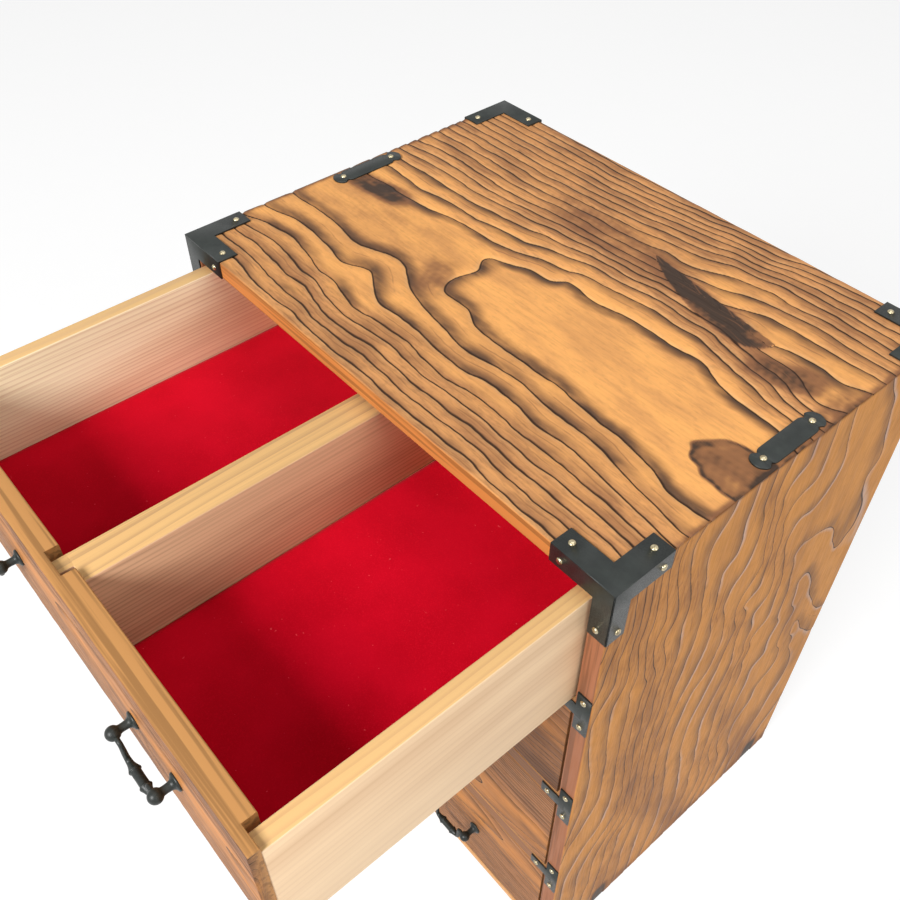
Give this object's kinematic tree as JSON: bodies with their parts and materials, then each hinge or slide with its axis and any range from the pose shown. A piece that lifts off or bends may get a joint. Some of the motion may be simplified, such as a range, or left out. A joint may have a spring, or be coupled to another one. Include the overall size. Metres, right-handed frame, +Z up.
{
  "type": "tansu drawer chest",
  "caption": "Small tabletop chest of brushed charred cedar with four sliding drawers, black corner irons, swinging bail handles and red felt liners; the top drawer stands open.",
  "frame": {"origin": "on the floor under the middle of the chest as it stands with its top drawer open; the middle of the case is 74.6 mm behind it", "axes": "+X to the right seen from the front, +Y from the drawer fronts to the back, +Z up"},
  "size_m": [0.2834, 0.3616, 0.3537],
  "materials": {
    "brushed_cedar": "charred and wire-brushed cedar, dark grooves, satin",
    "plain_cedar": "planed pale cedar, unfinished",
    "black_iron": "black lacquered iron, satin",
    "pale_brass": "pale brass nail heads, polished",
    "red_felt": "red wool felt"
  },
  "bodies": {
    "case": {"top_panel": "brushed_cedar", "left_side_panel": "brushed_cedar", "right_side_panel": "brushed_cedar", "bottom_panel": "plain_cedar", "back_panel": "plain_cedar", "upper_rail": "brushed_cedar", "middle_rail": "brushed_cedar", "lower_rail": "brushed_cedar", "drawer_runners": "plain_cedar", "front_foot_batten": "plain_cedar", "back_foot_batten": "plain_cedar", "top_front_left_iron": "black_iron", "top_front_right_iron": "black_iron", "top_back_left_iron": "black_iron", "top_back_right_iron": "black_iron", "left_edge_plate": "black_iron", "right_edge_plate": "black_iron", "stile_plates": "black_iron", "dome_nails": "pale_brass"},
    "bottom_drawer": {"bottom_drawer_front": "brushed_cedar", "bottom_drawer_left_side": "plain_cedar", "bottom_drawer_right_side": "plain_cedar", "bottom_drawer_back": "plain_cedar", "bottom_drawer_bottom": "plain_cedar", "bottom_drawer_felt": "red_felt", "bottom_drawer_handle_posts": "black_iron"},
    "bottom_drawer_left_bail": {"bottom_drawer_left_bail": "black_iron"},
    "bottom_drawer_right_bail": {"bottom_drawer_right_bail": "black_iron"},
    "third_drawer": {"third_drawer_front": "brushed_cedar", "third_drawer_left_side": "plain_cedar", "third_drawer_right_side": "plain_cedar", "third_drawer_back": "plain_cedar", "third_drawer_bottom": "plain_cedar", "third_drawer_felt": "red_felt", "third_drawer_handle_posts": "black_iron"},
    "third_drawer_left_bail": {"third_drawer_left_bail": "black_iron"},
    "third_drawer_right_bail": {"third_drawer_right_bail": "black_iron"},
    "second_drawer": {"second_drawer_front": "brushed_cedar", "second_drawer_left_side": "plain_cedar", "second_drawer_right_side": "plain_cedar", "second_drawer_back": "plain_cedar", "second_drawer_bottom": "plain_cedar", "second_drawer_felt": "red_felt", "second_drawer_handle_posts": "black_iron"},
    "second_drawer_left_bail": {"second_drawer_left_bail": "black_iron"},
    "second_drawer_right_bail": {"second_drawer_right_bail": "black_iron"},
    "top_drawer": {"top_drawer_front": "brushed_cedar", "top_drawer_left_side": "plain_cedar", "top_drawer_right_side": "plain_cedar", "top_drawer_back": "plain_cedar", "top_drawer_bottom": "plain_cedar", "top_drawer_divider": "plain_cedar", "top_drawer_left_felt": "red_felt", "top_drawer_right_felt": "red_felt", "top_drawer_handle_posts": "black_iron"},
    "top_drawer_left_bail": {"top_drawer_left_bail": "black_iron"},
    "top_drawer_right_bail": {"top_drawer_right_bail": "black_iron"}
  },
  "joints": [
    {"name": "bottom_drawer_slide", "type": "slide", "parent": "case", "child": "bottom_drawer", "axis": [0, -1, 0], "range_m": [0, 0.16]},
    {"name": "bottom_drawer_left_bail_swing", "type": "hinge", "parent": "bottom_drawer", "child": "bottom_drawer_left_bail", "pos_m": [-0.0625, -0.0379, 0.05924], "axis": [-1, 0, 0], "range_deg": [-26, 200]},
    {"name": "bottom_drawer_right_bail_swing", "type": "hinge", "parent": "bottom_drawer", "child": "bottom_drawer_right_bail", "pos_m": [0.0625, -0.0379, 0.05924], "axis": [-1, 0, 0], "range_deg": [-26, 200]},
    {"name": "third_drawer_slide", "type": "slide", "parent": "case", "child": "third_drawer", "axis": [0, -1, 0], "range_m": [0, 0.16]},
    {"name": "third_drawer_left_bail_swing", "type": "hinge", "parent": "third_drawer", "child": "third_drawer_left_bail", "pos_m": [-0.0625, -0.0379, 0.14261], "axis": [-1, 0, 0], "range_deg": [-26, 200]},
    {"name": "third_drawer_right_bail_swing", "type": "hinge", "parent": "third_drawer", "child": "third_drawer_right_bail", "pos_m": [0.0625, -0.0379, 0.14261], "axis": [-1, 0, 0], "range_deg": [-26, 200]},
    {"name": "second_drawer_slide", "type": "slide", "parent": "case", "child": "second_drawer", "axis": [0, -1, 0], "range_m": [0, 0.16]},
    {"name": "second_drawer_left_bail_swing", "type": "hinge", "parent": "second_drawer", "child": "second_drawer_left_bail", "pos_m": [-0.0625, -0.0379, 0.22599], "axis": [-1, 0, 0], "range_deg": [-26, 200]},
    {"name": "second_drawer_right_bail_swing", "type": "hinge", "parent": "second_drawer", "child": "second_drawer_right_bail", "pos_m": [0.0625, -0.0379, 0.22599], "axis": [-1, 0, 0], "range_deg": [-26, 200]},
    {"name": "top_drawer_slide", "type": "slide", "parent": "case", "child": "top_drawer", "axis": [0, -1, 0], "range_m": [-0.14, 0.02]},
    {"name": "top_drawer_left_bail_swing", "type": "hinge", "parent": "top_drawer", "child": "top_drawer_left_bail", "pos_m": [-0.0625, -0.1779, 0.30736], "axis": [-1, 0, 0], "range_deg": [-26, 200]},
    {"name": "top_drawer_right_bail_swing", "type": "hinge", "parent": "top_drawer", "child": "top_drawer_right_bail", "pos_m": [0.0625, -0.1779, 0.30736], "axis": [-1, 0, 0], "range_deg": [-26, 200]}
  ]
}
